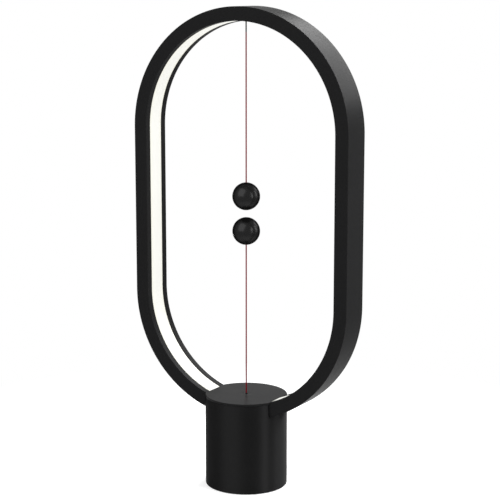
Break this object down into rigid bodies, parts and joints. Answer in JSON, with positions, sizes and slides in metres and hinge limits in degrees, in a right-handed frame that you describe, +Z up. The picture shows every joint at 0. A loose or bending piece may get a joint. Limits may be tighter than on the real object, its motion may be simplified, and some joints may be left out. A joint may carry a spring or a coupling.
{
  "type": "led table lamp",
  "caption": "Balance lamp: an upright oval ring of light in a round base, switched by drawing together two magnetic balls that hang and float on strings.",
  "frame": {"origin": "middle of the footprint, on the table", "axes": "+Z up, +X to the right along the ring's width, -Y towards the front"},
  "size_m": [0.201, 0.069, 0.4003],
  "materials": {
    "black_shell": "fine matt black, moulded",
    "black_ball": "satin black, polished",
    "light_strip": "opal diffuser, lit",
    "red_string": "thin braided cord, dark red",
    "led_board": "white circuit strip with small LEDs",
    "ivory_plastic": "unpainted moulding",
    "grey_plastic": "moulded",
    "rubber": "soft, matt",
    "steel": "turned and plated",
    "nickel": "nickel plated",
    "brass": "turned",
    "green_board": "solder resist",
    "dark_component": "moulded, dark",
    "blue_sleeve": "shrunk sleeve",
    "red_wire": "wire sleeve",
    "black_wire": "wire sleeve"
  },
  "bodies": {
    "lamp": {"base_housing": "black_shell", "top_cap": "black_shell", "ring_channel": "black_shell", "diffuser": "light_strip", "led_strip": "led_board", "upper_grommet": "black_ball", "upper_string_knot": "red_string", "string_eyelet": "brass", "return_spring": "steel", "switch_frame": "grey_plastic", "frame_screw_left": "steel", "frame_screw_right": "steel", "micro_switch": "dark_component", "ring_saddle": "grey_plastic", "ring_screw_left": "steel", "ring_screw_right": "steel", "base_plate": "grey_plastic", "base_screw_1": "steel", "base_screw_2": "steel", "base_screw_3": "steel", "foot_pad": "rubber", "counterweight": "steel", "weight_screw_left": "steel", "weight_screw_right": "steel", "standoff_left": "brass", "standoff_right": "brass", "board_screw_left": "steel", "board_screw_right": "steel", "driver_board": "green_board", "driver_chip": "dark_component", "power_coil": "dark_component", "smoothing_capacitor": "blue_sleeve", "usb_socket": "nickel", "led_lead_left": "black_wire", "led_lead_right": "red_wire"},
    "upper_bend": {"upper_string_bend": "red_string"},
    "upper_ball": {"upper_string": "red_string", "upper_ball_shell": "black_ball", "upper_ball_plug": "black_ball", "upper_ball_magnet": "nickel", "upper_ball_knot": "red_string"},
    "slider": {"pull_slider": "ivory_plastic", "string_crimp": "brass", "inner_string": "red_string"},
    "button": {"switch_button": "red_wire"},
    "lower_bend": {"lower_string_bend": "red_string"},
    "lower_string": {"lower_string": "red_string"},
    "lower_ball": {"lower_ball_shell": "black_ball", "lower_ball_plug": "black_ball", "lower_ball_magnet": "nickel", "lower_ball_knot": "red_string"}
  },
  "joints": [
    {"name": "upper_ball_swing_front_back", "type": "hinge", "parent": "lamp", "child": "upper_bend", "pos_m": [0, 0, 0.3882], "axis": [1, 0, 0], "range_deg": [-50, 50]},
    {"name": "upper_ball_swing_sideways", "type": "hinge", "parent": "upper_bend", "child": "upper_ball", "pos_m": [0, 0, 0.3882], "axis": [0, 1, 0], "range_deg": [-30, 30]},
    {"name": "pull_slider_travel", "type": "slide", "parent": "lamp", "child": "slider", "axis": [0, 0, 1], "range_m": [-0.0015, 0], "stiffness_N_per_m": 60, "springref_m": -0.005, "deforming": ["return_spring"]},
    {"name": "switch_button_travel", "type": "slide", "parent": "lamp", "child": "button", "axis": [0, 0, 1], "range_m": [-0.0015, 0]},
    {"name": "lower_ball_lean_front_back", "type": "hinge", "parent": "slider", "child": "lower_bend", "pos_m": [0, 0, 0.0769], "axis": [1, 0, 0], "range_deg": [-10, 10]},
    {"name": "lower_ball_lean_sideways", "type": "hinge", "parent": "lower_bend", "child": "lower_string", "pos_m": [0, 0, 0.0769], "axis": [0, 1, 0], "range_deg": [-10, 10]},
    {"name": "lower_ball_drop", "type": "slide", "parent": "lower_string", "child": "lower_ball", "axis": [0, 0, 1], "range_m": [-0.1255, 0], "deforming": ["lower_string"]}
  ],
  "couplings": [
    {"joint": "switch_button_travel", "follows": "pull_slider_travel", "ratio": 1}
  ]
}
